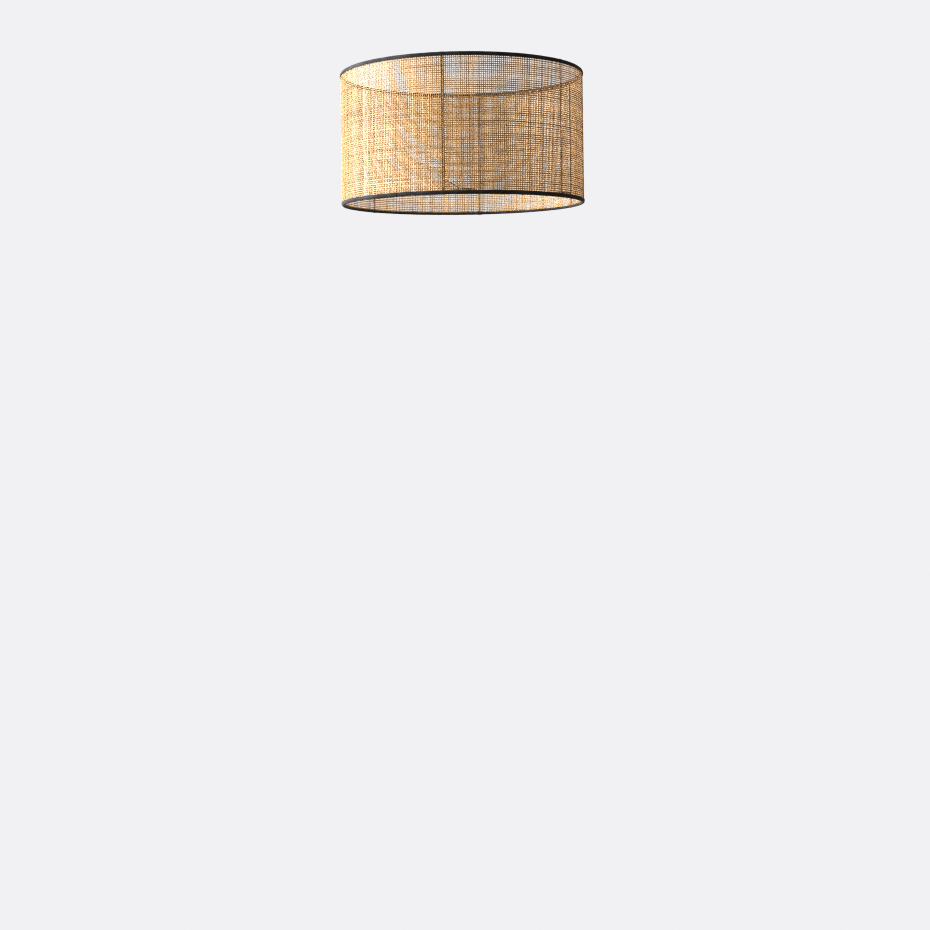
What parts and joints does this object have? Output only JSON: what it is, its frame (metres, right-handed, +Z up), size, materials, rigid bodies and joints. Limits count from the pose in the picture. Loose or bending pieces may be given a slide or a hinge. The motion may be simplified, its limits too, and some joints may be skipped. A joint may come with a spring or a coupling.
{
  "type": "lamp shade",
  "caption": "Wide drum lamp shade of open-woven natural fibre on a wire frame, with dark fabric tape round both rims and a fitter ring on arms for a lampholder.",
  "frame": {"origin": "centre of the lower rim's underside, on the shade's axis", "axes": "+Z up along the shade's axis; -Y faces the viewer, with the first upright and the cover's joint 8.5 degrees to its left (towards -X)"},
  "size_m": [0.5, 0.4998, 0.27],
  "materials": {
    "woven_fibre": "open plain weave of flat natural-fibre strands, matte with a faint sheen",
    "rim_tape": "matte black woven tape, glued",
    "brown_wire": "dark brown lacquered steel wire, satin",
    "ring_wire": "black lacquered steel wire, satin",
    "fitter_steel": "black lacquered steel, satin"
  },
  "bodies": {
    "root": {"bottom_ring": "ring_wire", "top_ring": "ring_wire", "upright_1": "brown_wire", "upright_2": "brown_wire", "upright_3": "brown_wire", "upright_4": "brown_wire", "upright_5": "brown_wire", "upright_6": "brown_wire", "fitter_ring": "fitter_steel", "fitter_arm_1": "fitter_steel", "fitter_arm_2": "fitter_steel", "fitter_arm_3": "fitter_steel", "woven_cover": "woven_fibre", "bottom_tape": "rim_tape", "top_tape": "rim_tape"}
  },
  "joints": []
}
